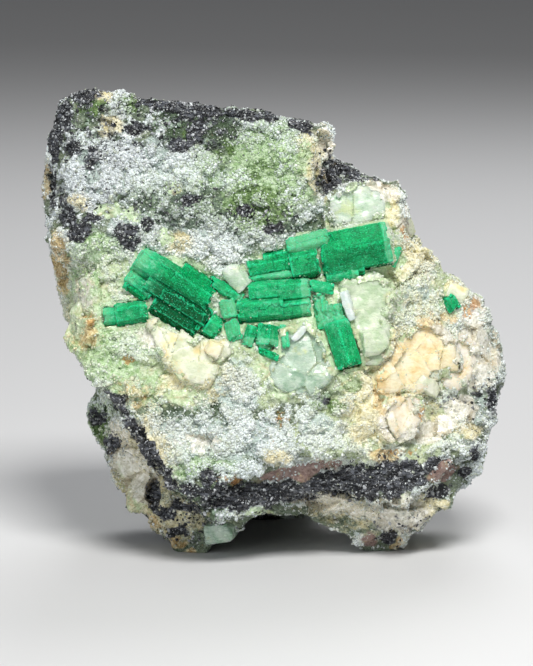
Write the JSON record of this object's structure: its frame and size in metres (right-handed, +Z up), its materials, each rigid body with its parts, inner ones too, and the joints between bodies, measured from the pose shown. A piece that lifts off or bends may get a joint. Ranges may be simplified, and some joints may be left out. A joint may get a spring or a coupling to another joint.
{
  "type": "emerald in matrix mineral specimen",
  "caption": "Emerald prisms in a belt across a rough of mica schist, sugary feldspar and quartz that stands on its own feet.",
  "frame": {"origin": "centre of the bounding box in x and y, at the height of the feet", "axes": "+Z up, away from the surface it stands on; -Y the face with the emeralds; +X to the right as that face is seen"},
  "size_m": [0.0742, 0.0478, 0.0743],
  "materials": {
    "matrix_rock": "rough mica schist with a sugary feldspar crust",
    "emerald": "glassy, translucent green crystal",
    "feldspar": "satin cleavage faces, cream to amber",
    "quartz": "glassy, milky pale green"
  },
  "bodies": {
    "root": {"matrix_rock": "matrix_rock", "emerald_left_prism": "emerald", "emerald_left_end": "emerald", "emerald_link": "emerald", "emerald_far_left": "emerald", "emerald_right_prism": "emerald", "emerald_upper_bar": "emerald", "emerald_centre": "emerald", "emerald_lower_prism": "emerald", "emerald_stub": "emerald", "emerald_chip": "emerald", "feldspar_cream": "feldspar", "feldspar_amber": "feldspar", "feldspar_white": "feldspar", "quartz_lower": "quartz", "quartz_right": "quartz", "quartz_upper": "quartz", "quartz_far_right": "quartz"}
  },
  "joints": []
}
